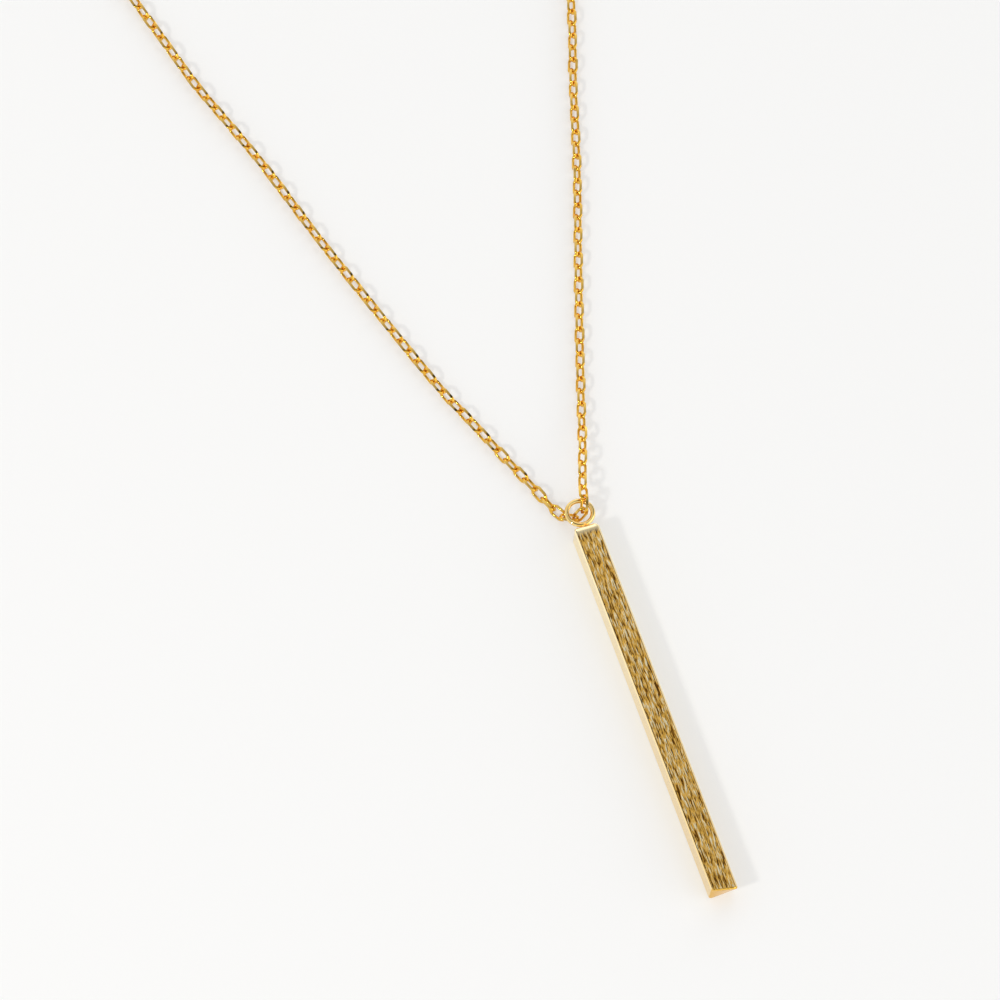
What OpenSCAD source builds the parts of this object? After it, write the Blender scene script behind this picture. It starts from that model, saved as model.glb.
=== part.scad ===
// A square bar pendant on a diamond-cut cable chain, lying flat.
// The bar's back rests on z = 0, the bar runs along Y with its ring at +Y, and the origin is the
// middle of its back face. The chain runs through the ring and round in one loop to a barrel clasp.

/* [Bar] */
// Length of the bar, without its ring
bar_l = 50.4; // [30:0.1:70]
// Width of the bar's front face
bar_w = 3.2; // [2.4:0.1:5]
// Thickness of the bar, front to back
bar_t = 3.2; // [2.4:0.1:5]
// Bevel along the bar's edges and round its lower end
edge_cut = 0.2; // [0.05:0.05:0.5]
// Bevel round the bar's top end, under the ring
top_cut = 0.4; // [0.1:0.05:0.8]

/* [Ring] */
// Outer diameter of the ring
ring_d = 3.86; // [3.6:0.02:6]
// Thickness of the ring's wire
ring_wire = 0.62; // [0.4:0.02:0.7]
// Gap between the bar's end and the ring, which the solder foot bridges
foot_l = 0.4; // [0.1:0.05:1]
// Width of the solder foot where it meets the bar
foot_d = 1.5; // [0.8:0.1:2]
// How far the ring sits to one side of the bar's middle
ring_shift = 0.2; // [-0.5:0.05:0.5]

/* [Chain] */
// Length of the whole necklace, along the chain and the clasp
necklace_l = 406; // [392:1:430]
// Width of the loop at its widest
loop_w = 81; // [70:1:94]
// Distance from one link to the next
link_pitch = 1.75; // [1.7:0.01:1.8]
// Play between two links, end to end
link_play = 0.2; // [0.18:0.01:0.24]
// Thickness of a link's wire
wire_t = 0.3; // [0.24:0.01:0.32]
// Width of the opening inside a link
link_gap_w = 0.9; // [0.86:0.01:1]
// Width across the chain's flat diamond cuts
cut_w = 1.04; // [0.98:0.01:1.08]

/* [Clasp] */
// Diameter of the clasp's barrel
clasp_d = 2; // [1.6:0.1:3]
// Shortest length of the clasp, from link to link
clasp_l = 8; // [7:0.5:12]
// How far each eye stands out of the barrel
eye_l = 1.05; // [0.95:0.05:1.3]
// Bevel at both ends of the barrel
clasp_cut = 0.3; // [0.1:0.1:0.5]

/* [Hidden] */
$fn = 48;
// Columns of a point or a row, by name
X = 0;
Y = 1;
Z = 2;
AZIMUTH = 3;
RISE = 4;
ROLL = 5;
// Places worked out from the sizes above
ring_r = (ring_d - ring_wire) / 2;
ring_at = [ring_shift, bar_l / 2 + foot_l + ring_d / 2, bar_t / 2];
link_l = link_pitch + link_play;
side_l = link_l - link_gap_w;
lie_z = cut_w / 2;
lean = 45;

// The links that pass over, through and under the ring, from the right strand to the left one.
// Each row gives the link's middle from the ring's centre, its heading, its rise and its roll.
// Those before the link in the ring belong to the right strand.
in_ring = 3;
CROSSING = [
    [1.66, 3.77, 0.49, -108, 6, 46],
    [1.18, 2.16, 0.82, -106, 16, -39],
    [0.77, 0.64, 0.83, -111, -19, 53],
    [0, -0.15, -0.19, -162, -49, -52],
    [-1.3, 0.16, -0.84, 150, -10, 27],
    [-2.37, 1.26, -1.03, 121, 3, -47],
    [-3.12, 2.75, -1.04, 112, -1, 46]
];

// The chain's route round the loop, from the left strand to the right one, drawn at one width.
// Each point gives its place and how far the chain is lifted there.
drawn_w = 81;
clasp_lift = clasp_d / 2 - lie_z;
ROUTE = [
    [-3.9, 32.8, 0], [-6.4, 38.8, 0], [-8.7, 44.6, 0], [-11, 50.4, 0], [-17.8, 71.6, 0],
    [-21.7, 85.2, 0], [-24.2, 92.7, 0], [-26.5, 99.4, 0], [-28.4, 106.6, 0], [-30.3, 113.7, 0],
    [-34, 128, 0], [-38.5, 145, 0], [-40, 161, 0], [-36, 177, 0], [-26, 190.5, 0],
    [-19.5, 194.9, 0], [-12.6, 198, clasp_lift / 2], [-6, 199.5, clasp_lift],
    [6, 199.5, clasp_lift], [12.6, 198, clasp_lift / 2], [19.5, 194.9, 0], [26, 190.5, 0],
    [37, 176, 0], [41, 159, 0], [38.5, 142, 0], [33, 125, 0], [28, 110, 0],
    [23.5, 96.8, 0], [22.2, 92.6, 0], [19.6, 84.9, 0], [17.9, 79.3, 0], [15.7, 72.3, 0],
    [12.3, 62.3, 0], [8.7, 51.6, 0], [5.2, 41, 0.3], [3.8, 36.7, 0.9]
];

// The loop's far half is widened to its width, then moved out or in to make up the length
far_y = 120;
function routed(p, shift) =
    p[Y] > far_y ? [p[X] * loop_w / drawn_w, p[Y] + shift, lie_z + p[Z]] : [p[X], p[Y], lie_z + p[Z]];

// One end of a crossing link's axis: 1 is the end it heads for, -1 the end behind
function joint_of(row, end) =
    [for (i = [X:Z]) ring_at[i] + row[i] + end * link_pitch / 2 * heading(row)[i]];
function heading(row) =
    [cos(row[AZIMUTH]) * cos(row[RISE]), sin(row[AZIMUTH]) * cos(row[RISE]), sin(row[RISE])];

// A smooth curve through all points, with a few steps between each two
STEPS = 12;
function blend(a, b, c, d, t) =
    (2 * b + (c - a) * t + (2 * a - 5 * b + 4 * c - d) * t * t + (3 * b - a - 3 * c + d) * t * t * t) / 2;
function smooth(p) = concat(
    [for (i = [0:len(p) - 2]) for (k = [0:STEPS - 1])
        blend(p[max(i - 1, 0)], p[i], p[i + 1], p[min(i + 2, len(p) - 1)], k / STEPS)],
    [p[len(p) - 1]]
);
function run_of(p, i = 1, run = [0]) =
    i >= len(p) ? run : run_of(p, i + 1, concat(run, [run[i - 1] + norm(p[i] - p[i - 1])]));

first_joint = joint_of(CROSSING[len(CROSSING) - 1], 1);
last_joint = joint_of(CROSSING[0], -1);
function curve_with(shift) = [
    for (p = smooth(concat([first_joint], [for (p = ROUTE) routed(p, shift)], [last_joint])))
        [p[X], p[Y], max(p[Z], lie_z)]
];
function length_of(p) = run_of(p)[len(p) - 1];

crossing_l = len(CROSSING) * link_pitch;
curve = curve_with((necklace_l - crossing_l - length_of(curve_with(0))) / 2);
curve_run = run_of(curve);
curve_l = length_of(curve);
function at(s) =
    [for (i = [X:Z]) lookup(s, [for (k = [0:len(curve) - 1]) [curve_run[k], curve[k][i]]])];

links_each = floor((curve_l - clasp_l) / 2 / link_pitch);
left_joints = [for (k = [0:links_each]) at(k * link_pitch)];
right_joints = [for (k = [0:links_each]) at(curve_l - k * link_pitch)];

// A straight slot with round ends, the outline of a link
module slot(w) {
    square([side_l, w], center = true);
    for (s = [-1, 1]) translate([s * side_l / 2, 0]) circle(d = w);
}

// One link along X, cut flat on four sides as the finished chain is
module link() {
    intersection() {
        linear_extrude(wire_t, center = true) difference() {
            slot(link_gap_w + 2 * wire_t);
            slot(link_gap_w);
        }
        rotate([lean, 0, 0]) cube([2 * link_l, cut_w, cut_w], center = true);
    }
}

// Moves what is built along X to lie from one joint towards the next
module between(a, b, roll) {
    d = b - a;
    translate((a + b) / 2) rotate([roll, -asin(d[Z] / norm(d)), atan2(d[Y], d[X])]) children();
}

// Every second link leans the other way
module strand(joints, first_lean) {
    for (k = [0:len(joints) - 2])
        between(joints[k], joints[k + 1], k % 2 == 0 ? first_lean : -first_lean) link();
}

module crossing_links(first, last) {
    for (i = [first:last], row = [CROSSING[i]]) translate(ring_at + [row[X], row[Y], row[Z]])
        rotate([row[ROLL], -row[RISE], row[AZIMUTH]]) link();
}

// A rectangle with its corners cut off, by one amount at the low end of X and another at the high end
module cut_corners(x, y, low, high) {
    polygon([
        [-x / 2, -y / 2 + low], [-x / 2 + low, -y / 2], [x / 2 - high, -y / 2], [x / 2, -y / 2 + high],
        [x / 2, y / 2 - high], [x / 2 - high, y / 2], [-x / 2 + low, y / 2], [-x / 2, y / 2 - low]
    ]);
}

// The bar: its long edges bevelled, then both its ends
module bar() {
    translate([0, 0, bar_t / 2]) intersection() {
        rotate([90, 0, 0]) linear_extrude(bar_l, center = true) cut_corners(bar_w, bar_t, edge_cut, edge_cut);
        rotate([0, 0, 90]) linear_extrude(bar_t, center = true) cut_corners(bar_l, bar_w, edge_cut, top_cut);
        rotate([90, 0, 90]) linear_extrude(bar_w, center = true) cut_corners(bar_l, bar_t, edge_cut, top_cut);
    }
}

module ring() {
    translate(ring_at) rotate_extrude() translate([ring_r, 0]) circle(d = ring_wire);
}

// The solder between the bar's end and the ring's wire
module foot() {
    translate([ring_shift, bar_l / 2 - edge_cut, bar_t / 2]) rotate([-90, 0, 0])
        cylinder(d1 = foot_d, d2 = ring_wire, h = edge_cut + foot_l + ring_wire / 2);
}

module bar_pendant() {
    color("goldenrod") {
        bar();
        ring();
        foot();
    }
}

module chain_left() {
    color("gold") {
        crossing_links(in_ring, len(CROSSING) - 1);
        strand(left_joints, -lean);
    }
}

module chain_right() {
    color("gold") {
        crossing_links(0, in_ring - 1);
        strand(right_joints, lean);
    }
}

// A plain barrel between the two strands, with a link-shaped eye fixed in each end
module clasp() {
    a = left_joints[links_each];
    b = right_joints[links_each];
    reach = norm(b - a);
    barrel_l = reach - 2 * eye_l;
    end_lean = links_each % 2 == 0 ? -lean : lean;
    color("gold") between(a, b, 0) {
        rotate([0, 90, 0]) {
            cylinder(d = clasp_d, h = barrel_l - 2 * clasp_cut, center = true);
            for (s = [0, 180]) rotate([s, 0, 0]) translate([0, 0, barrel_l / 2 - clasp_cut])
                cylinder(d1 = clasp_d, d2 = clasp_d - 2 * clasp_cut, h = clasp_cut);
        }
        for (s = [-1, 1]) translate([s * (reach - link_pitch) / 2, 0, 0]) rotate([end_lean, 0, 0]) link();
    }
}

bar_pendant();
chain_left();
chain_right();
clasp();
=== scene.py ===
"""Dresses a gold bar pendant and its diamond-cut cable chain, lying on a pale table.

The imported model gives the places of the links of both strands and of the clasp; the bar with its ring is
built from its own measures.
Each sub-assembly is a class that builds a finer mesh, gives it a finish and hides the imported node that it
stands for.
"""

import logging
import math
from dataclasses import dataclass, field
from enum import Enum

import bmesh
import bpy
import numpy as np
from mathutils import Matrix, Vector


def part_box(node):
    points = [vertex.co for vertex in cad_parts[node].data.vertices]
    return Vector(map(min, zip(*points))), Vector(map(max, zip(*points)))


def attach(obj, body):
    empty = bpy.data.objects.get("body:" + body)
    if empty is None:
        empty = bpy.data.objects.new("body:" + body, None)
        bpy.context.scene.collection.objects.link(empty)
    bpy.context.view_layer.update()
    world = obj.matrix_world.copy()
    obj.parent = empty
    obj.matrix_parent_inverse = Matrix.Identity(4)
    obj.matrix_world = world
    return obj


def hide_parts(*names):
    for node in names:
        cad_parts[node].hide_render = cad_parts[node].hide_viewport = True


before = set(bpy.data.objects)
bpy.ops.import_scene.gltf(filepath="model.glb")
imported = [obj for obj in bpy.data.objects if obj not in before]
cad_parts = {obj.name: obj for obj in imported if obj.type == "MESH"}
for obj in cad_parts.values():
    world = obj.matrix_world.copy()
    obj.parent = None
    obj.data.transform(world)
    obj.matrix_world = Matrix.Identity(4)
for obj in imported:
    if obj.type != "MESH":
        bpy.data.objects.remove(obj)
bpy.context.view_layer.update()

MM = 0.001
SAME_POINT = 1e-4 * MM
BODY = "root"
LOG = logging.getLogger("bar_pendant")


class Node(Enum):
    """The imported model's nodes."""

    PENDANT = "bar_pendant"
    LEFT_STRAND = "chain_left"
    RIGHT_STRAND = "chain_right"
    CLASP = "clasp"


class Slot(Enum):
    """The record's material slots."""

    BAR = "bar"
    CHAIN = "chain"
    CLASP = "clasp"


class Mark(Enum):
    """Names of the values that a mesh carries for its finish."""

    POLISH = "polish"
    RELIEF = "relief"
    STROKE = "stroke"
    END = "cut_end"
    TURN = "link_turn"
    FLAT = "cut_flat"
    ALONG = "link_along"


Colour = tuple[float, float, float, float]


# Node trees


class Wiring:
    """Adds nodes to a tree and joins them by name."""

    def __init__(self, tree: bpy.types.NodeTree) -> None:
        """Keeps the tree to work on.

        Args:
            tree: A shader or geometry node tree.
        """
        self.tree = tree

    def add(self, kind: str, settings: dict | None = None, **inputs: object) -> bpy.types.Node:
        """Adds one node, sets its options and fills or links its inputs.

        Args:
            kind: The node's type name in Blender.
            settings: Attributes of the node, by name.
            **inputs: Values or sockets by input name, with spaces written as underscores.

        Returns:
            The new node.
        """
        node = self.tree.nodes.new(kind)
        for name, value in (settings or {}).items():
            setattr(node, name, value)
        for name, value in inputs.items():
            self.feed(node, name.replace("_", " "), value)
        return node

    def feed(self, node: bpy.types.Node, name: str | int, value: object) -> None:
        """Sets one input of a node, or links a socket to it.

        Args:
            node: The node to feed.
            name: The input's name or its number.
            value: A plain value, or the socket that feeds it.
        """
        socket = node.inputs[name]
        if isinstance(value, bpy.types.NodeSocket):
            self.tree.links.new(value, socket)
        else:
            socket.default_value = value

    def math(self, operation: str, a: object, b: object = 0.0, clamp: bool = False) -> bpy.types.NodeSocket:
        """Adds a Math node.

        Args:
            operation: The operation's name in Blender.
            a: First value or socket.
            b: Second value or socket.
            clamp: Whether the result is kept from 0 to 1.

        Returns:
            The node's output socket.
        """
        node = self.add("ShaderNodeMath", {"operation": operation, "use_clamp": clamp})
        self.feed(node, 0, a)
        self.feed(node, 1, b)
        return node.outputs[0]

    def remap(
        self, value: object, low: float, high: float, to_low: object = 0.0, to_high: object = 1.0
    ) -> bpy.types.NodeSocket:
        """Adds a smooth Map Range node.

        Args:
            value: The value or socket to map.
            low: The value that maps to to_low.
            high: The value that maps to to_high.
            to_low: Lowest result.
            to_high: Highest result.

        Returns:
            The node's output socket.
        """
        node = self.add("ShaderNodeMapRange", {"interpolation_type": "SMOOTHSTEP"})
        names = ("Value", "From Min", "From Max", "To Min", "To Max")
        for name, number in zip(names, (value, low, high, to_low, to_high)):
            self.feed(node, name, number)
        return node.outputs[0]

    def vector(self, operation: str, *values: object) -> bpy.types.NodeSocket:
        """Adds a Vector Math node.

        Args:
            operation: The operation's name in Blender.
            *values: Its values or sockets in order. The last one of a SCALE is its factor.

        Returns:
            The node's output socket.
        """
        node = self.add("ShaderNodeVectorMath", {"operation": operation})
        for place, value in enumerate(values):
            self.feed(node, "Scale" if operation == "SCALE" and place else place, value)
        return node.outputs["Value" if operation == "DOT_PRODUCT" else "Vector"]

    def mark(self, mark: Mark, kind: str = "FLOAT") -> bpy.types.NodeSocket:
        """Reads a value that the mesh carries.

        Args:
            mark: The value to read.
            kind: Its data type, which only a geometry tree needs.

        Returns:
            The value's socket.
        """
        if self.tree.type == "SHADER":
            return self.add("ShaderNodeAttribute", {"attribute_name": mark.value}).outputs["Fac"]
        return self.add("GeometryNodeInputNamedAttribute", {"data_type": kind}, Name=mark.value).outputs[0]

    def mix(self, factor: object, a: object, b: object) -> bpy.types.NodeSocket:
        """Adds a colour Mix node.

        Args:
            factor: How much of b there is.
            a: First colour or socket.
            b: Second colour or socket.

        Returns:
            The mixed colour's socket.
        """
        node = self.add("ShaderNodeMix", {"data_type": "RGBA"})
        self.feed(node, 0, factor)
        self.feed(node, 6, a)
        self.feed(node, 7, b)
        return node.outputs[2]


def declare(tree: bpy.types.NodeTree, side: str, **kinds: str) -> None:
    """Adds sockets to one side of a tree.

    Args:
        tree: The node tree.
        side: INPUT or OUTPUT.
        **kinds: Each socket's kind by its name, with spaces written as underscores.
    """
    for name, kind in kinds.items():
        tree.interface.new_socket(name=name.replace("_", " "), in_out=side, socket_type="NodeSocket" + kind)


class EffectGroup:
    """A shader node group that several finishes share."""

    name = "effect"
    inputs: dict[str, tuple[str, float]] = {}
    outputs: dict[str, str] = {}

    @classmethod
    def tree(cls) -> bpy.types.NodeTree:
        """Returns the group's node tree, which is built on its first use."""
        found = bpy.data.node_groups.get(cls.name)
        if found:
            return found
        tree = bpy.data.node_groups.new(cls.name, "ShaderNodeTree")
        for name, (kind, value) in cls.inputs.items():
            socket = tree.interface.new_socket(name=name, in_out="INPUT", socket_type=kind)
            if kind == "NodeSocketFloat":
                socket.default_value = value
        for name, kind in cls.outputs.items():
            tree.interface.new_socket(name=name, in_out="OUTPUT", socket_type=kind)
        wire = Wiring(tree)
        entry = wire.add("NodeGroupInput")
        leave = wire.add("NodeGroupOutput")
        for name, socket in cls.wire(wire, entry).items():
            wire.feed(leave, name, socket)
        return tree

    @classmethod
    def wire(cls, wire: Wiring, entry: bpy.types.Node) -> dict[str, bpy.types.NodeSocket]:
        """Builds the inside of the group.

        Args:
            wire: The group's wiring.
            entry: The group's input node.

        Returns:
            Each output's socket, by name.
        """
        raise NotImplementedError

    @classmethod
    def place(cls, wire: Wiring, **inputs: object) -> bpy.types.Node:
        """Places the group in a material.

        Args:
            wire: The material's wiring.
            **inputs: Values or sockets by input name, with spaces written as underscores.

        Returns:
            The group node.
        """
        node = wire.add("ShaderNodeGroup", {"node_tree": cls.tree()})
        for name, value in inputs.items():
            wire.feed(node, name.replace("_", " "), value)
        return node


class HairLines(EffectGroup):
    """Hair-thin lines along Y, as fine wire leaves them between the deeper strokes."""

    name = "hair lines"
    inputs = {
        "Position": ("NodeSocketVector", 0.0),
        "Width": ("NodeSocketFloat", 0.05),
        "Length": ("NodeSocketFloat", 1.2),
    }
    outputs = {"Height": "NodeSocketFloat"}

    @classmethod
    def wire(cls, wire: Wiring, entry: bpy.types.Node) -> dict[str, bpy.types.NodeSocket]:
        """Stretches noise along Y.

        Args:
            wire: The group's wiring.
            entry: The group's input node.

        Returns:
            The lines' height, about 0 to 1.
        """
        scale = wire.add("ShaderNodeCombineXYZ")
        across = wire.math("DIVIDE", 1 / MM, entry.outputs["Width"])
        wire.feed(scale, "X", across)
        wire.feed(scale, "Y", wire.math("DIVIDE", 1 / MM, entry.outputs["Length"]))
        wire.feed(scale, "Z", across)
        place = wire.vector("MULTIPLY", entry.outputs["Position"], scale.outputs[0])
        noise = wire.add("ShaderNodeTexNoise", Vector=place, Scale=1.0, Detail=3.0, Roughness=0.6)
        return {"Height": noise.outputs["Fac"]}


class HandlingMarks(EffectGroup):
    """Faint smudges and hairline scratches that a worn polished surface carries."""

    name = "handling marks"
    inputs = {
        "Position": ("NodeSocketVector", 0.0),
        "Size": ("NodeSocketFloat", 1.4),
        "Amount": ("NodeSocketFloat", 1.0),
    }
    outputs = {"Smudge": "NodeSocketFloat", "Scratch": "NodeSocketFloat"}

    @classmethod
    def wire(cls, wire: Wiring, entry: bpy.types.Node) -> dict[str, bpy.types.NodeSocket]:
        """Makes the smudges from cloudy noise and the scratches from thin stretched noise.

        Args:
            wire: The group's wiring.
            entry: The group's input node.

        Returns:
            The two masks, 0 to 1.
        """
        size = wire.math("DIVIDE", 1 / MM, entry.outputs["Size"])
        place = wire.vector("SCALE", entry.outputs["Position"], size)
        cloud = wire.add("ShaderNodeTexNoise", Vector=place, Scale=1.0, Detail=4.0, Roughness=0.6)
        amount = entry.outputs["Amount"]
        smudge = wire.math("MULTIPLY", wire.remap(cloud.outputs["Fac"], 0.45, 0.75), amount, True)
        turned = wire.add("ShaderNodeMapping", Vector=place, Rotation=(0.4, 0.7, 0.3), Scale=(9.0, 0.8, 6.0))
        hair = wire.add("ShaderNodeTexNoise", Vector=turned.outputs[0], Scale=2.0, Detail=2.0)
        scratch = wire.math("MULTIPLY", wire.remap(hair.outputs["Fac"], 0.62, 0.72), amount, True)
        return {"Smudge": smudge, "Scratch": scratch}


# Finishes


def new_material(name: str) -> tuple[bpy.types.Material, Wiring, bpy.types.Node]:
    """Makes a plain material to build a finish on.

    Args:
        name: The material's name.

    Returns:
        The material, its wiring and its Principled shader.
    """
    material = bpy.data.materials.new(name)
    material.use_nodes = True
    wire = Wiring(material.node_tree)
    shader = material.node_tree.nodes["Principled BSDF"]
    return material, wire, shader


@dataclass(frozen=True)
class BarkGold:
    """Gold cut lengthwise in short strokes like bark, with polished bevels and ends, painted shade in its
    grooves and a painted highlight on its crests.
    """

    crest_highlight: Colour = (1.0, 0.90, 0.60, 1)
    body: Colour = (0.86, 0.50, 0.093, 1)
    groove_shade: Colour = (0.16, 0.055, 0.003, 1)
    bevel: Colour = (1.0, 0.84, 0.50, 1)
    bevel_low: Colour = (0.93, 0.71, 0.35, 1)
    bevel_span: float = 25.0 * MM
    groove_shade_from: tuple[float, float] = (0.40, 0.62)
    crest_highlight_from: tuple[float, float] = (0.66, 0.90)
    rough: float = 0.18
    rough_bevel: float = 0.12
    rough_smudge: float = 0.06
    wear: float = 0.5
    line_share: float = 0.3
    line_depth: float = 0.006 * MM

    def material(self) -> bpy.types.Material:
        """Returns the finish as a material that reads the mesh's stroke and polish marks."""
        material, wire, shader = new_material("bark gold")
        place = wire.add("ShaderNodeTexCoord").outputs["Object"]
        polish = wire.mark(Mark.POLISH)
        lines = HairLines.place(wire, Position=place)
        marks = HandlingMarks.place(wire, Position=place, Amount=self.wear)
        line = wire.math("MULTIPLY", lines.outputs["Height"], self.line_share)
        height = wire.math("ADD", wire.mark(Mark.STROKE), line)
        # Painted shade and highlight: by height, the grooves of the strokes and hair lines are painted dark
        # and their crests pale.
        low = wire.mix(wire.remap(height, *self.groove_shade_from), self.groove_shade, self.body)
        cut = wire.mix(wire.remap(height, *self.crest_highlight_from), low, self.crest_highlight)
        # The bevels' colour goes from bevel_low at the lower end to bevel at the top end, over bevel_span
        # each way from the middle.
        along = wire.add("ShaderNodeSeparateXYZ", Vector=place).outputs["Y"]
        upper = wire.remap(along, -self.bevel_span, self.bevel_span)
        wire.feed(shader, "Base Color", wire.mix(polish, cut, wire.mix(upper, self.bevel_low, self.bevel)))
        wire.feed(shader, "Metallic", 1.0)
        rough = wire.math("ADD", wire.math("MULTIPLY", polish, self.rough_bevel - self.rough), self.rough)
        rough = wire.math("ADD", rough, wire.math("MULTIPLY", marks.outputs["Smudge"], self.rough_smudge))
        wire.feed(shader, "Roughness", rough)
        bare = wire.math("SUBTRACT", 1.0, polish, True)
        bump = wire.add("ShaderNodeBump", Strength=1.0, Distance=self.line_depth)
        wire.feed(bump, "Height", wire.math("MULTIPLY", lines.outputs["Height"], bare))
        wire.feed(shader, "Normal", bump.outputs[0])
        return material


@dataclass(frozen=True)
class PolishedGold:
    """Smooth gold with faint handling marks, on a link bowed a little along its length."""

    name: str
    colour: Colour
    warm: Colour
    rough: float
    bow: float = 0.0
    rough_smudge: float = 0.07
    scratch_depth: float = 0.01 * MM
    scratch_share: float = 0.25

    def material(self) -> bpy.types.Material:
        """Returns the finish as a material."""
        material, wire, shader = new_material(self.name)
        place = wire.add("ShaderNodeTexCoord").outputs["Object"]
        marks = HandlingMarks.place(wire, Position=place)
        wire.feed(shader, "Base Color", wire.mix(marks.outputs["Smudge"], self.colour, self.warm))
        wire.feed(shader, "Metallic", 1.0)
        smudged = wire.math("MULTIPLY", marks.outputs["Smudge"], self.rough_smudge)
        wire.feed(shader, "Roughness", wire.math("ADD", self.rough, smudged))
        bump = wire.add("ShaderNodeBump", Strength=self.scratch_share, Distance=self.scratch_depth)
        wire.feed(bump, "Height", marks.outputs["Scratch"])
        if self.bow:
            along = wire.mark(Mark.ALONG)
            bowed = wire.add("ShaderNodeBump", Strength=1.0, Distance=self.bow)
            wire.feed(bowed, "Height", wire.math("MULTIPLY", wire.math("MULTIPLY", along, along), -1.0))
            wire.feed(bump, "Normal", bowed.outputs[0])
        wire.feed(shader, "Normal", bump.outputs[0])
        return material


@dataclass(frozen=True)
class PaleTable:
    """The plain matt surface that the necklace lies on."""

    colour: Colour = (0.6, 0.6, 0.596, 1)
    glow_colour: Colour = (1.0, 1.0, 0.995, 1)
    glow: float = 0.338
    rough: float = 0.6
    shine: float = 0.1

    def material(self) -> bpy.types.Material:
        """Returns the finish as a material."""
        material, wire, shader = new_material("pale table")
        wire.feed(shader, "Base Color", self.colour)
        wire.feed(shader, "Roughness", self.rough)
        wire.feed(shader, "Specular IOR Level", self.shine)
        wire.feed(shader, "Emission Color", self.glow_colour)
        wire.feed(shader, "Emission Strength", self.glow)
        return material


# Meshes


def tidy(form: bmesh.types.BMesh) -> None:
    """Merges doubled points and turns every face outwards.

    Args:
        form: The mesh to tidy.
    """
    bmesh.ops.remove_doubles(form, verts=form.verts, dist=SAME_POINT)
    bmesh.ops.recalc_face_normals(form, faces=form.faces)


def as_object(form: bmesh.types.BMesh, name: str, *materials: bpy.types.Material) -> bpy.types.Object:
    """Turns a finished mesh into an object of the scene.

    Args:
        form: The mesh, in the row frame. It is freed.
        name: The piece's name.
        *materials: The piece's materials, by slot.

    Returns:
        The new object, at the origin.
    """
    mesh = bpy.data.meshes.new(name)
    form.to_mesh(mesh)
    form.free()
    for material in materials:
        mesh.materials.append(material)
    made = bpy.data.objects.new(name, mesh)
    bpy.context.scene.collection.objects.link(made)
    return made


def grown(
    carrier: bpy.types.Object, tree: bpy.types.NodeTree, name: str, **inputs: object
) -> bpy.types.Object:
    """Runs a geometry node tree on an object and keeps the result as a plain mesh.

    Args:
        carrier: The object that the tree starts from. It is removed.
        tree: The geometry node tree.
        name: The new piece's name.
        **inputs: The tree's inputs by name, with spaces written as underscores.

    Returns:
        The new object.
    """
    maker = carrier.modifiers.new("maker", "NODES")
    maker.node_group = tree
    named = {s.name: s.identifier for s in tree.interface.items_tree if s.in_out == "INPUT"}
    for key, value in inputs.items():
        maker[named[key.replace("_", " ")]] = value
    graph = bpy.context.evaluated_depsgraph_get()
    plain = bpy.data.meshes.new_from_object(carrier.evaluated_get(graph))
    carrier.modifiers.remove(maker)
    bpy.data.objects.remove(carrier)
    plain.name = name
    made = bpy.data.objects.new(name, plain)
    bpy.context.scene.collection.objects.link(made)
    return made


def settle(piece: bpy.types.Object, slot: Slot, *nodes: Node) -> bpy.types.Object:
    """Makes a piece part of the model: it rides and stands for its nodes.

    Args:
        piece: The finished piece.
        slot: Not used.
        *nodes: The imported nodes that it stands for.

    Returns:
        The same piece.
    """
    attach(piece, BODY)
    if nodes:
        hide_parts(*[n.value for n in nodes])
    LOG.info("%s: %d faces", piece.name, len(piece.data.polygons))
    return piece


def islands(node: Node) -> list[np.ndarray]:
    """Splits a node's mesh into its separate solids.

    Args:
        node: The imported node.

    Returns:
        The corner points of each solid, in metres, in the mesh's own order.
    """
    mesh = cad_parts[node.value].data
    points = np.zeros(len(mesh.vertices) * 3, np.float32)
    mesh.vertices.foreach_get("co", points)
    points = points.reshape(-1, 3)
    corners = np.zeros(len(mesh.loops), np.int32)
    mesh.loops.foreach_get("vertex_index", corners)
    triangles = corners.reshape(-1, 3)
    micrometres = np.round(points / (0.001 * MM)).astype(np.int64)
    _, same = np.unique(micrometres, axis=0, return_inverse=True)
    same = same.reshape(-1)
    label = np.arange(same.max() + 1)
    joined = same[triangles]
    while True:
        lowest = label[joined].min(axis=1)
        new = label.copy()
        for corner in range(3):
            np.minimum.at(new, joined[:, corner], lowest)
        new = new[new]
        if (new == label).all():
            break
        label = new
    of_point = label[same]
    _, first = np.unique(of_point, return_index=True)
    return [points[of_point == of_point[i]] for i in sorted(first)]


@dataclass
class LinkPose:
    """Where one link lies: its middle and its three axes, as columns."""

    middle: Vector
    turn: Matrix

    @classmethod
    def of(cls, points: np.ndarray) -> "LinkPose":
        """Reads a link's place from its corner points.

        Args:
            points: The link's corner points.

        Returns:
            The pose, with X along the link and Z square to its loop.
        """
        distinct = np.unique(np.round(points, 7), axis=0).astype(float)
        mean = distinct.mean(axis=0)
        _, axes = np.linalg.eigh(np.cov((distinct - mean).T))
        along, across = axes[:, 2], axes[:, 1]
        turn = np.column_stack([along, across, np.cross(along, across)])
        local = (distinct - mean) @ turn
        middle = mean + turn @ ((local.max(axis=0) + local.min(axis=0)) / 2)
        return cls(Vector(middle), Matrix(turn.tolist()))


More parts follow.
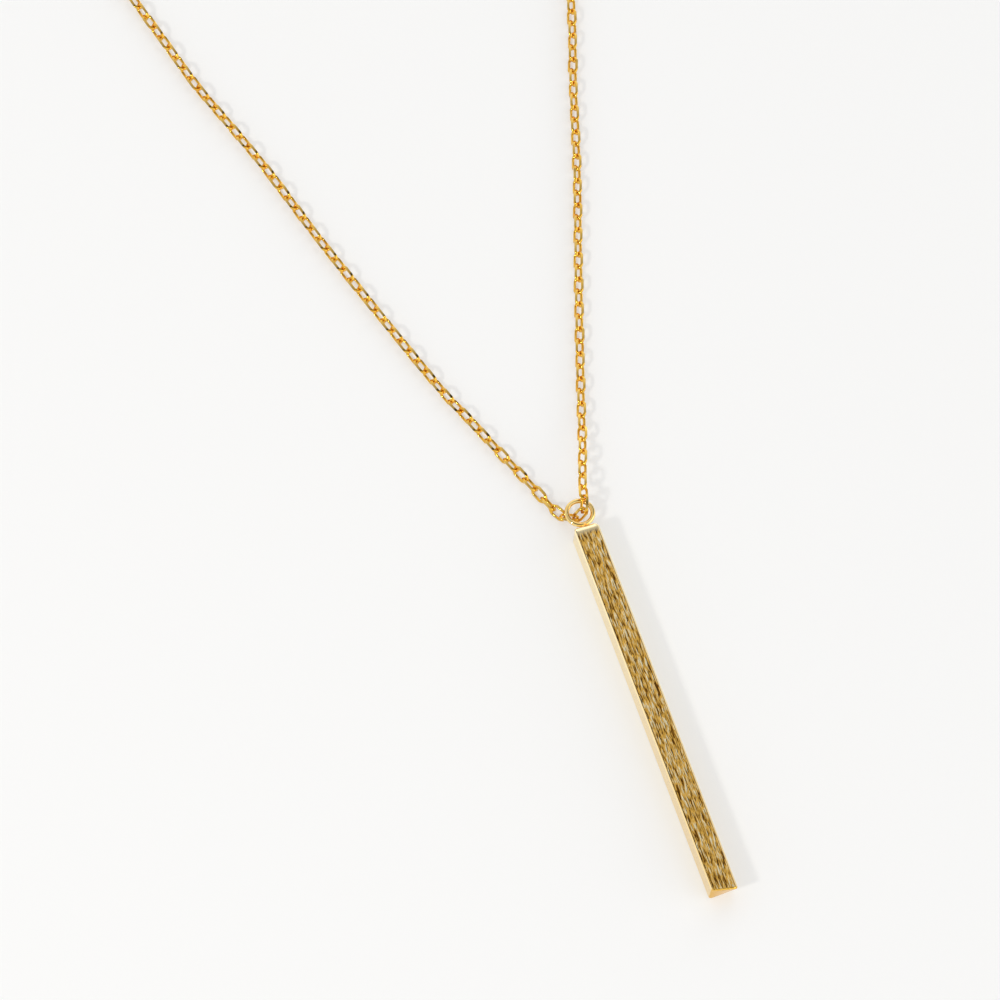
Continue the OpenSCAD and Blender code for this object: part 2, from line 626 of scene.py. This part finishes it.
def lathe(form: bmesh.types.BMesh, profile: list[tuple[float, float]], place: Matrix, sides: int) -> None:
    """Turns a profile round its own X axis and adds the result to a mesh.

    Args:
        form: The mesh that is added to.
        profile: Distance along the axis and radius of each step. A radius of 0 closes an end.
        place: Where the axis lies.
        sides: Number of steps round the axis.
    """
    rings = []
    for along, radius in profile:
        count = sides if radius > 0 else 1
        angles = [2 * math.pi * i / sides for i in range(count)]
        around = [Vector((along, radius * math.cos(a), radius * math.sin(a))) for a in angles]
        rings.append([form.verts.new(place @ point) for point in around])
    for near, far in zip(rings, rings[1:]):
        for i in range(sides):
            k = (i + 1) % sides
            corners = [near[i % len(near)], near[k % len(near)], far[k % len(far)], far[i % len(far)]]
            face = form.faces.new(list(dict.fromkeys(corners)))
            face.smooth = True


# The bar with its ring


@dataclass
class BarkRelief:
    """The short lengthwise strokes that cover the bar, as a geometry node tree."""

    depth: float = 0.14
    width: float = 0.12
    length: float = 0.9
    wander: float = 0.18
    seed: float = 3.0
    base: float = -0.32
    shares: tuple[float, float, float] = (0.42, 0.75, 0.45)
    level: float = 0.75

    def tree(self) -> bpy.types.NodeTree:
        """Builds the tree that cuts the strokes and marks their height on the mesh.

        Returns:
            The geometry node tree.
        """
        tree = bpy.data.node_groups.new("bark relief", "GeometryNodeTree")
        declare(
            tree, "INPUT", Bar="Geometry", Depth="Float", Width="Float", Length="Float", Wander="Float",
            Seed="Float", Finish="Material", End_finish="Material",
        )
        declare(tree, "OUTPUT", Bar="Geometry")
        wire = Wiring(tree)
        entry = wire.add("NodeGroupInput")
        leave = wire.add("NodeGroupOutput")
        put = entry.outputs
        start = wire.vector("SCALE", wire.add("GeometryNodeInputPosition").outputs[0], 1 / MM)
        placed = wire.vector("ADD", start, put["Seed"])
        drift = wire.add("ShaderNodeTexNoise", Vector=placed, Scale=0.7, Detail=1.0)
        sideways = wire.add("ShaderNodeCombineXYZ", X=put["Wander"], Z=put["Wander"])
        shifted = wire.vector("MULTIPLY_ADD", drift.outputs["Color"], sideways.outputs[0], placed)
        across = wire.math("DIVIDE", 1.0, put["Width"])
        along = wire.math("DIVIDE", 1.0, put["Length"])

        def stretched(finer: float) -> bpy.types.NodeSocket:
            """Works out the place in strokes of another size.

            Args:
                finer: How much smaller the strokes are.

            Returns:
                The place's socket.
            """
            wide = wire.math("MULTIPLY", across, finer)
            scale = wire.add("ShaderNodeCombineXYZ", X=wide, Y=wire.math("MULTIPLY", along, finer), Z=wide)
            return wire.vector("MULTIPLY", shifted, scale.outputs[0])

        cells = wire.add("ShaderNodeTexVoronoi", {"feature": "SMOOTH_F1"}, Vector=stretched(0.7), Scale=1.0)
        wire.feed(cells, "Smoothness", 0.25)
        broad = wire.add("ShaderNodeTexNoise", Vector=stretched(0.55), Scale=1.0, Detail=2.0, Roughness=0.6)
        fine = wire.add("ShaderNodeTexNoise", Vector=stretched(1.7), Scale=1.0, Detail=2.0, Roughness=0.7)
        rounds = wire.remap(cells.outputs["Distance"], 0.1, 0.9, 1.0, 0.0)
        height: object = self.base
        for part, share in zip((rounds, broad.outputs[0], fine.outputs[0]), self.shares):
            height = wire.math("ADD", height, wire.math("MULTIPLY", part, share))
        relief = wire.mark(Mark.RELIEF)
        rise = wire.math("MULTIPLY", wire.math("SUBTRACT", height, self.level), put["Depth"])
        rise = wire.math("MULTIPLY", wire.math("MULTIPLY", rise, relief), MM)
        lift = wire.vector("SCALE", wire.add("GeometryNodeInputNormal").outputs[0], rise)
        cut = wire.add("GeometryNodeSetPosition", Geometry=put["Bar"], Offset=lift)
        kept = wire.add("GeometryNodeStoreNamedAttribute", {"data_type": "FLOAT", "domain": "POINT"})
        wire.feed(kept, "Geometry", cut.outputs[0])
        wire.feed(kept, "Name", Mark.STROKE.value)
        wire.feed(kept, "Value", wire.math("MULTIPLY", height, wire.math("MULTIPLY", relief, 1.6, True)))
        whole = wire.add("GeometryNodeRealizeInstances", Geometry=kept.outputs[0])
        finished = wire.add("GeometryNodeSetMaterial", Geometry=whole.outputs[0], Material=put["Finish"])
        ended = wire.add("GeometryNodeSetMaterial", Geometry=finished.outputs[0], Material=put["End finish"])
        wire.feed(ended, "Selection", wire.mark(Mark.END, "BOOLEAN"))
        wire.feed(leave, 0, ended.outputs[0])
        return tree


@dataclass(frozen=True)
class Face:
    """How one long face of the bar is cut: its strokes, its polish and the flat rims beside them."""

    column: float
    relief: float
    polish: float
    sunk: float
    rims: tuple[float, float] = (0.05 * MM, 0.05 * MM)
    walls: tuple[float, float] = (0.1 * MM, 0.1 * MM)

    def into(self, x: float, half: float) -> float:
        """Works out how far a point is inside the cut part of the face.

        Args:
            x: The point's place across the face, from its middle.
            half: Half of the face's width.

        Returns:
            0 on the rims, 1 inside.
        """
        share = min((half + x - self.rims[0]) / self.walls[0], (half - x - self.rims[1]) / self.walls[1])
        share = min(max(share, 0.0), 1.0)
        return share * share * (3 - 2 * share)


FRONT = Face(0.045 * MM, 1.0, 0.0, 0.07 * MM, (0.0, 0.07 * MM), (0.17 * MM, 0.08 * MM))
SIDE = Face(0.1 * MM, 0.14, 0.95, 0.0)
BACK = Face(0.2 * MM, 0.14, 0.95, 0.0)


@dataclass
class BarPendant:
    """The square bar, the ring at its top end and the solder between them."""

    length: float = 50.4 * MM
    width: float = 3.2 * MM
    thick: float = 3.2 * MM
    edge: float = 0.15 * MM
    top_edge: float = 0.4 * MM
    end_edge: float = 0.2 * MM
    end_round: float = 0.3 * MM
    end_rings: tuple[float, ...] = (1.3 * MM, 1.0 * MM, 0.7 * MM, 0.4 * MM)
    slant_reach: float = 2.5 * MM
    slant_front: tuple[float, float] = (-0.12 * MM, -0.72 * MM)
    slant_back: float = 0.25 * MM
    top_plain: float = 0.15 * MM
    top_fade: float = 0.8 * MM
    row: float = 0.14 * MM
    rim_sharp: float = 6.0
    faces: tuple[Face, ...] = (FRONT, SIDE, BACK, SIDE)
    ring_outer: float = 3.86 * MM
    ring_wire: float = 0.62 * MM
    ring_shift: float = 0.2 * MM
    foot: float = 0.4 * MM
    foot_d: float = 1.5 * MM
    ring_steps: tuple[int, int] = (72, 16)
    solder_steps: tuple[int, int] = (7, 24)
    solder_sunk: float = 0.1 * MM
    solder_up: float = 0.8
    solder_thin: float = 0.46
    solder_flare: float = 1.5
    relief: BarkRelief = field(default_factory=BarkRelief)
    bar_finish: BarkGold = BarkGold()
    end_finish: PolishedGold = PolishedGold("end gold", (0.83, 0.50, 0.09, 1), (0.78, 0.43, 0.06, 1), 0.2)
    ring_finish: PolishedGold = PolishedGold("ring gold", (0.92, 0.68, 0.27, 1), (0.88, 0.56, 0.16, 1), 0.06)
    solder_finish: PolishedGold = PolishedGold("solder", (0.95, 0.50, 0.10, 1), (0.85, 0.36, 0.04, 1), 0.16)

    def outline(self) -> list[tuple[float, float, float, float, bool]]:
        """Works out the bar's cross-section, with bevelled corners and cut faces.

        Returns:
            Each point's X, its Z from the bar's middle, its relief, its polish and whether it is a corner.
        """
        points = []
        half = self.width / 2
        flat = half - self.edge
        for turn, face in enumerate(self.faces):
            c, n = round(math.cos(turn * math.pi / 2)), round(math.sin(turn * math.pi / 2))
            steps = round(2 * flat / face.column)
            for i in range(steps + 1):
                x = -flat + 2 * flat * i / steps
                into = face.into(x, flat)
                z = half - face.sunk * into
                polish = 1 - (1 - face.polish) * min(1.0, self.rim_sharp * into)
                points.append((x * c + z * n, z * c - x * n, face.relief * into, polish, i in (0, steps)))
        return points

    def build_bar(self) -> bpy.types.Object:
        """Builds the bar as rows of its cross-section, before its strokes are cut.

        Returns:
            The bar, with its relief and polish marks.
        """
        outline = self.outline()
        half = self.length / 2
        low, high = -half + self.end_edge, half - self.top_edge - self.top_plain
        count = round((high - low) / self.row)
        # Each row is a place along Y and an inset: the end's cap, its bevel, the straight bar, the top bevel
        rows = [(-half, inset) for inset in self.end_rings]
        ends = len(rows) + 2
        rows += [(-half, self.end_edge), (-half + 0.3 * self.end_edge, 0.3 * self.end_edge)]
        rows += [(low + (high - low) * i / count, 0.0) for i in range(count + 1)]
        rows += [(half - 0.55 * self.top_edge, self.top_edge / 3), (half, self.top_edge)]
        form = bmesh.new()
        relief = form.verts.layers.float.new(Mark.RELIEF.value)
        polish = form.verts.layers.float.new(Mark.POLISH.value)
        end = form.faces.layers.bool.new(Mark.END.value)
        loops = []
        for y, inset in rows:
            share = 1 - 2 * inset / self.width
            fade = 0.0 if y < low else min(max((high - y) / self.top_fade, 0.0), 1.0)
            loop = []
            for x, z, amount, shine, _ in outline:
                vert = form.verts.new(self.slanted(Vector((x * share, y, z * share + self.thick / 2))))
                vert[relief] = amount * fade
                vert[polish] = 1 - (1 - shine) * fade
                loop.append(vert)
            loops.append(loop)
        for near, far in zip(loops, loops[1:]):
            for i in range(len(near)):
                k = (i + 1) % len(near)
                form.faces.new((near[i], near[k], far[k], far[i])).smooth = True
                if outline[i][4]:
                    form.edges.get((near[i], far[i])).smooth = False
        form.faces.new(loops[0])
        form.faces.new(loops[-1])
        for vert in (v for loop in loops[:ends] for v in loop):
            for face in vert.link_faces:
                face[end] = True
        for loop in (loops[ends], loops[-1]):
            for i, vert in enumerate(loop):
                form.edges.get((vert, loop[(i + 1) % len(loop)])).smooth = False
        bmesh.ops.recalc_face_normals(form, faces=form.faces)
        return as_object(form, "bar blank")

    def slanted(self, point: Vector) -> Vector:
        """Moves a point of the bar's lower end to where the hand-cut end has it.

        Args:
            point: A point of the straight bar.

        Returns:
            The moved point.
        """
        above = max(point.y + self.length / 2, 0.0)
        near = max(1 - above / self.slant_reach, 0.0)
        right = point.x / self.width + 0.5
        front = point.z / self.thick
        left_shift, more = self.slant_front
        shift = front * (left_shift + more * right) + (1 - front) * self.slant_back * right
        short = max(self.end_round - above, 0.0)
        pull = self.end_round - math.sqrt(self.end_round**2 - short**2)
        return point + Vector((pull * (1 - right) ** 2, shift * near * near, 0))

    def build(self) -> None:
        """Builds the pieces and dresses them."""
        cutter = self.relief
        bar = grown(
            self.build_bar(), cutter.tree(), "bark_bar", Depth=cutter.depth, Width=cutter.width,
            Length=cutter.length, Wander=cutter.wander, Seed=cutter.seed,
            Finish=self.bar_finish.material(), End_finish=self.end_finish.material(),
        )
        settle(bar, Slot.BAR, Node.PENDANT)
        finishes = (self.ring_finish.material(), self.solder_finish.material())
        ring = as_object(self.build_ring(), "soldered_ring", *finishes)
        settle(ring, Slot.BAR, Node.PENDANT)

    def build_ring(self) -> bmesh.types.BMesh:
        """Builds the ring and the flowed solder that holds it.

        Returns:
            The mesh of both.
        """
        form = bmesh.new()
        radius = (self.ring_outer - self.ring_wire) / 2
        wire = self.ring_wire / 2
        middle = Vector((self.ring_shift, self.length / 2 + self.foot + self.ring_outer / 2, self.thick / 2))
        around, across = self.ring_steps
        rows = []
        for i in range(around):
            a = 2 * math.pi * i / around
            out = Vector((math.cos(a), math.sin(a), 0))
            rows.append([])
            for j in range(across):
                b = 2 * math.pi * j / across
                away = out * (radius + wire * math.cos(b)) + Vector((0, 0, wire * math.sin(b)))
                rows[-1].append(form.verts.new(middle + away))
        for i in range(around):
            for j in range(across):
                k, m = (i + 1) % around, (j + 1) % across
                form.faces.new((rows[i][j], rows[k][j], rows[k][m], rows[i][m]))
        wire_faces = set(form.faces)
        self.add_solder(form)
        for face in form.faces:
            face.smooth = True
            face.material_index = 0 if face in wire_faces else 1
        tidy(form)
        return form

    def add_solder(self, form: bmesh.types.BMesh) -> None:
        """Adds the solder that has flowed up from the bar's end round the ring's wire.

        Args:
            form: The ring's mesh.
        """
        steps, sides = self.solder_steps
        reach = self.foot + self.solder_up * self.ring_wire
        thin = self.ring_wire * self.solder_thin
        profile = [(0.0, 0.0)]
        for i in range(steps + 1):
            t = i / steps
            profile.append((t * reach, thin + (self.foot_d / 2 - thin) * (1 - t) ** self.solder_flare))
        profile.append((reach, 0.0))
        base = Vector((self.ring_shift, self.length / 2 - self.solder_sunk, self.thick / 2))
        lathe(form, profile, Matrix.Translation(base) @ Matrix.Rotation(math.pi / 2, 4, "Z"), sides)


# The chain


@dataclass
class CutLink:
    """One cable link: round wire bent to a slot, then cut flat on four sides."""

    pitch: float = 1.75 * MM
    side: float = 1.02 * MM
    bend: float = 1.24 * MM
    wire: float = 0.44 * MM
    cut: float = 1.1 * MM
    cut_tilt: float = math.radians(45)
    bend_steps: int = 3
    wire_sides: int = 6

    def build(self) -> bpy.types.Object:
        """Builds the link along X, in its own frame.

        Returns:
            The link as an object that is not part of the scene.
        """
        form = bmesh.new()
        path = []
        for end in (1, -1):
            for i in range(self.bend_steps + 1):
                a = math.pi * (i / self.bend_steps - 0.5)
                out = Vector((end * math.cos(a), end * math.sin(a), 0))
                path.append((Vector((end * self.side / 2, 0, 0)) + out * self.bend / 2, out))
        rows = []
        for middle, out in path:
            rows.append([])
            for j in range(self.wire_sides):
                a = 2 * math.pi * (j + 0.5) / self.wire_sides
                round_wire = out * math.cos(a) + Vector((0, 0, math.sin(a)))
                rows[-1].append(form.verts.new(middle + self.wire / 2 * round_wire))
        for i, row in enumerate(rows):
            after = rows[(i + 1) % len(rows)]
            for j in range(self.wire_sides):
                k = (j + 1) % self.wire_sides
                form.faces.new((row[j], after[j], after[k], row[k])).smooth = True
        tidy(form)
        for sy in (1, -1):
            for sz in (1, -1):
                self.cut_flat(form, Vector((0, sy * math.sin(self.cut_tilt), sz * math.cos(self.cut_tilt))))
        tidy(form)
        along = form.verts.layers.float.new(Mark.ALONG.value)
        for vert in form.verts:
            vert[along] = vert.co.x / MM
        mesh = bpy.data.meshes.new("cut link")
        form.to_mesh(mesh)
        form.free()
        return bpy.data.objects.new("cut link", mesh)

    def cut_flat(self, form: bmesh.types.BMesh, normal: Vector) -> None:
        """Cuts one flat across the link and marks the new faces.

        Args:
            form: The link's mesh.
            normal: The way that the flat faces.
        """
        mark = form.faces.layers.bool.get(Mark.FLAT.value) or form.faces.layers.bool.new(Mark.FLAT.value)
        everything = form.verts[:] + form.edges[:] + form.faces[:]
        cut = bmesh.ops.bisect_plane(
            form, geom=everything, plane_co=normal * self.cut / 2, plane_no=normal, clear_outer=True
        )
        rim = [e for e in cut["geom_cut"] if isinstance(e, bmesh.types.BMEdge)]
        for face in bmesh.ops.holes_fill(form, edges=rim, sides=0)["faces"]:
            face.smooth = False
            face[mark] = True


@dataclass
class CableChain:
    """Both strands of the chain, each a plain mesh of cut links."""

    link: CutLink = field(default_factory=CutLink)
    twist: float = math.radians(6)
    rolls: dict[Node, float] = field(
        default_factory=lambda: {Node.LEFT_STRAND: math.radians(-16), Node.RIGHT_STRAND: math.radians(5)}
    )
    lift: float = 0.1 * MM
    even_links: int = 4
    fade_links: int = 8
    start: float = 2.2 * MM
    # Partly painted shade: the wire gold is a deeper orange than the cut flats, standing in for the light
    # that the links reflect into each other.
    wire_finish: PolishedGold = PolishedGold(
        "chain gold", (0.80, 0.47, 0.065, 1), (0.72, 0.34, 0.03, 1), 0.04
    )
    flat_finish: PolishedGold = PolishedGold(
        "cut gold", (0.76, 0.50, 0.12, 1), (0.70, 0.43, 0.08, 1), 0.04, bow=0.13 * MM
    )

    def tree(self) -> bpy.types.NodeTree:
        """Builds the tree that sets a link on every point.

        Returns:
            The geometry node tree.
        """
        tree = bpy.data.node_groups.new("links on points", "GeometryNodeTree")
        declare(
            tree, "INPUT", Points="Geometry", Link="Object", Twist="Float", Seed="Int",
            Wire_finish="Material", Flat_finish="Material",
        )
        declare(tree, "OUTPUT", Strand="Geometry")
        wire = Wiring(tree)
        entry = wire.add("NodeGroupInput")
        leave = wire.add("NodeGroupOutput")
        put = entry.outputs
        shape = wire.add("GeometryNodeObjectInfo", {"transform_space": "ORIGINAL"}, Object=put["Link"])
        rotation = wire.add("FunctionNodeEulerToRotation")
        wire.feed(rotation, 0, wire.mark(Mark.TURN, "FLOAT_VECTOR"))
        chance = wire.add("FunctionNodeRandomValue", {"data_type": "FLOAT"}, Seed=put["Seed"])
        wire.feed(chance, 2, wire.math("MULTIPLY", put["Twist"], -1.0))
        wire.feed(chance, 3, put["Twist"])
        twist = wire.add("ShaderNodeCombineXYZ", X=chance.outputs[1])
        local = wire.add("FunctionNodeEulerToRotation")
        wire.feed(local, 0, twist.outputs[0])
        both = wire.add("FunctionNodeRotateRotation", {"rotation_space": "LOCAL"})
        wire.feed(both, 0, rotation.outputs[0])
        wire.feed(both, 1, local.outputs[0])
        links = wire.add(
            "GeometryNodeInstanceOnPoints", Points=put["Points"], Instance=shape.outputs["Geometry"],
            Rotation=both.outputs[0],
        )
        whole = wire.add("GeometryNodeRealizeInstances", Geometry=links.outputs[0])
        bare = wire.add("GeometryNodeSetMaterial", Geometry=whole.outputs[0], Material=put["Wire finish"])
        cuts = wire.add("GeometryNodeSetMaterial", Geometry=bare.outputs[0], Material=put["Flat finish"])
        wire.feed(cuts, "Selection", wire.mark(Mark.FLAT, "BOOLEAN"))
        wire.feed(leave, 0, cuts.outputs[0])
        return tree

    def poses(self, node: Node) -> list[LinkPose]:
        """Reads where a strand's links lie, and rolls the strand a little as it lies on the table.

        Args:
            node: The strand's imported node.

        Returns:
            The links' poses, from the bar's ring to the clasp.
        """
        found = [LinkPose.of(points) for points in islands(node)]
        here = Vector((0, BarPendant.length / 2 + self.start, BarPendant.thick / 2))
        run: list[LinkPose] = []
        while found:
            nearest = min(range(len(found)), key=lambda i: (found[i].middle - here).length)
            run.append(found.pop(nearest))
            here = run[-1].middle
        for i, pose in enumerate(run):
            ahead = run[min(i + 1, len(run) - 1)].middle - run[max(i - 1, 0)].middle
            if pose.turn.col[0].dot(ahead) < 0:
                pose.turn = pose.turn @ Matrix.Rotation(math.pi, 3, "Z")
            share = min(max(min(i - self.even_links, len(run) - 1 - i) / self.fade_links, 0.0), 1.0)
            pose.turn = pose.turn @ Matrix.Rotation(share * self.rolls[node], 3, "X")
            pose.middle = pose.middle + Vector((0, 0, share * self.lift))
        return run

    def build(self) -> None:
        """Builds both strands and dresses them."""
        wire_gold, cut_gold = self.wire_finish.material(), self.flat_finish.material()
        shape = self.link.build()
        tree = self.tree()
        names = {Node.LEFT_STRAND: "left_strand", Node.RIGHT_STRAND: "right_strand"}
        for seed, (node, name) in enumerate(names.items()):
            poses = self.poses(node)
            mesh = bpy.data.meshes.new(name + " points")
            mesh.from_pydata([p.middle for p in poses], [], [])
            turns = mesh.attributes.new(Mark.TURN.value, "FLOAT_VECTOR", "POINT")
            for i, pose in enumerate(poses):
                turns.data[i].vector = pose.turn.to_euler()
            carrier = bpy.data.objects.new(name + " points", mesh)
            bpy.context.scene.collection.objects.link(carrier)
            strand = grown(
                carrier, tree, name, Link=shape, Twist=self.twist, Seed=seed,
                Wire_finish=wire_gold, Flat_finish=cut_gold,
            )
            settle(strand, Slot.CHAIN, node)


@dataclass
class BarrelClasp:
    """The plain barrel between the two strands, with a link fixed in each end."""

    thick: float = 2.0 * MM
    end_cut: float = 0.3 * MM
    eye: float = 1.05 * MM
    lean: float = math.radians(-45)
    play: float = 0.2 * MM
    end_steps: int = 5
    sides: int = 32
    link: CutLink = field(default_factory=CutLink)
    finish: PolishedGold = PolishedGold("clasp gold", (0.95, 0.76, 0.40, 1), (0.92, 0.64, 0.24, 1), 0.12)

    def build(self) -> None:
        """Builds the clasp where its node lies and dresses it."""
        low, high = (Vector(c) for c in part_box(Node.CLASP.value))
        reach = high.x - low.x - self.play
        middle = Matrix.Translation((low + high) / 2)
        half = reach / 2 - self.eye
        form = bmesh.new()
        for end in (-1, 1):
            eye = self.link.build()
            place = Matrix.Translation((end * (reach - self.link.pitch) / 2, 0, 0))
            eye.data.transform(middle @ place @ Matrix.Rotation(self.lean, 4, "X"))
            form.from_mesh(eye.data)
            bpy.data.objects.remove(eye)
        bend = [math.pi / 2 * i / self.end_steps for i in range(self.end_steps + 1)]
        radius = self.thick / 2
        cut = self.end_cut
        ends = [(half - cut * (1 - math.sin(a)), radius - cut * (1 - math.cos(a))) for a in reversed(bend)]
        right = [(half, 0.0)] + ends
        profile = [(-x, r) for x, r in right] + list(reversed(right))
        lathe(form, profile, middle, self.sides)
        tidy(form)
        piece = as_object(form, "barrel_clasp", self.finish.material())
        settle(piece, Slot.CLASP, Node.CLASP)


# The studio


@dataclass(frozen=True)
class Lamp:
    """A square lamp that faces the necklace."""

    name: str
    place: tuple[float, float, float]
    size: float
    radiance: float
    colour: tuple[float, float, float]

    def hang(self) -> None:
        """Hangs the lamp in the scene, at the radiance that it is given."""
        data = bpy.data.lights.new(self.name, "AREA")
        data.shape = "SQUARE"
        data.size = self.size
        data.energy = self.radiance * math.pi * self.size**2
        data.color = self.colour
        lamp = bpy.data.objects.new(self.name, data)
        place = Vector(self.place)
        lamp.matrix_world = Matrix.Translation(place) @ (-place).to_track_quat("-Z", "Y").to_matrix().to_4x4()
        bpy.context.scene.collection.objects.link(lamp)


@dataclass(frozen=True)
class DarkSpot:
    """A dark patch of the room, which the metal mirrors.

    The room's light falls from edge to core, both given as nearness to the patch's middle.
    """

    way: tuple[float, float, float]
    edge: float
    core: float
    tone: float


@dataclass
class Studio:
    """Pale table, soft light and the camera."""

    focal_px: float = 6500.0
    image_px: float = 1000.0
    sensor: float = 36.0
    tilt: tuple[float, float, float] = (-0.4257, 0.0563, 0.3341)
    offset: tuple[float, float, float] = (18.7262, -26.3869, 799.293)
    frame_shift: float = 0.2
    table: PaleTable = PaleTable()
    table_z: float = -0.09 * MM
    table_size: float = 2.0
    room_tone: float = 1.08
    ceiling_tone: float = 0.62
    ceiling_from: tuple[float, float] = (0.72, 0.95)
    horizon: float = 0.2
    left_loss: float = 0.5
    left_from: tuple[float, float] = (0.25, 0.6)
    right_gain: float = 1.35
    right_until: tuple[float, float] = (0.45, 0.72)
    spots: tuple[DarkSpot, ...] = (
        DarkSpot((0.80, 0.30, 0.52), 0.88, 0.97, 0.05),
        DarkSpot((-0.08, -0.16, 0.984), 0.93, 0.975, 0.12),
    )
    lamps: tuple[Lamp, ...] = (Lamp("key", (-0.715, -0.26, 0.65), 0.1, 84.0, (1.0, 0.97, 0.92)),)

    def camera(self) -> None:
        """Sets the camera at the photograph's angle."""
        turn = Matrix.Identity(3)
        for angle, axis in zip(self.tilt, "XYZ"):
            turn = turn @ Matrix.Rotation(angle, 3, axis)
        world = turn.transposed()
        eye = world @ Vector((-self.offset[0], -self.offset[1], self.offset[2]))
        eye.y -= self.frame_shift
        data = bpy.data.cameras.new("camera")
        data.sensor_width = self.sensor
        data.lens = self.sensor * self.focal_px / self.image_px
        data.clip_start, data.clip_end = 0.05, 20.0
        camera = bpy.data.objects.new("camera", data)
        camera.matrix_world = Matrix.Translation(eye * MM) @ world.to_4x4()
        bpy.context.scene.collection.objects.link(camera)
        bpy.context.scene.camera = camera

    def floor(self) -> None:
        """Lays the table under the necklace."""
        form = bmesh.new()
        bmesh.ops.create_grid(form, x_segments=1, y_segments=1, size=self.table_size)
        bmesh.ops.translate(form, vec=(0, 0, self.table_z), verts=form.verts)
        table = as_object(form, "table", self.table.material())

    def light(self) -> None:
        """Hangs the lamps and shades the room by direction."""
        for lamp in self.lamps:
            lamp.hang()
        world = bpy.data.worlds.new("room")
        world.use_nodes = True
        wire = Wiring(world.node_tree)
        way = wire.add("ShaderNodeTexCoord").outputs["Generated"]
        parts = wire.add("ShaderNodeSeparateXYZ", Vector=way)
        up = parts.outputs["Z"]
        tone = wire.remap(up, *self.ceiling_from, self.room_tone, self.ceiling_tone)
        right = wire.math("MAXIMUM", parts.outputs["X"], 0.0)
        left = wire.math("MINIMUM", parts.outputs["X"], 0.0)
        rise = wire.remap(up, 0.0, self.horizon, 0.0, self.right_gain)
        gain = wire.math("MULTIPLY", right, wire.remap(up, *self.right_until, rise, 0.0))
        loss = wire.math("MULTIPLY", left, wire.remap(up, *self.left_from, 0.0, self.left_loss))
        tone = wire.math("MULTIPLY", tone, wire.math("ADD", wire.math("ADD", gain, loss), 1.0))
        for spot in self.spots:
            shade = wire.remap(up, 0.0, self.horizon, 1.0, spot.tone)
            near = wire.vector("DOT_PRODUCT", way, spot.way)
            tone = wire.math("MULTIPLY", tone, wire.remap(near, spot.edge, spot.core, 1.0, shade))
        room = world.node_tree.nodes["Background"]
        wire.feed(room, "Color", (1, 1, 1, 1))
        wire.feed(room, "Strength", tone)
        bpy.context.scene.world = world
        bpy.context.scene.view_settings.view_transform = "Standard"

    def build(self) -> None:
        """Sets the whole studio."""
        self.camera()
        self.floor()
        self.light()


def main() -> None:
    """Builds every sub-assembly in order."""
    logging.basicConfig(level=logging.INFO, format="%(message)s")
    Studio().build()
    BarPendant().build()
    CableChain().build()
    BarrelClasp().build()


if __name__ == "__main__":
    main()
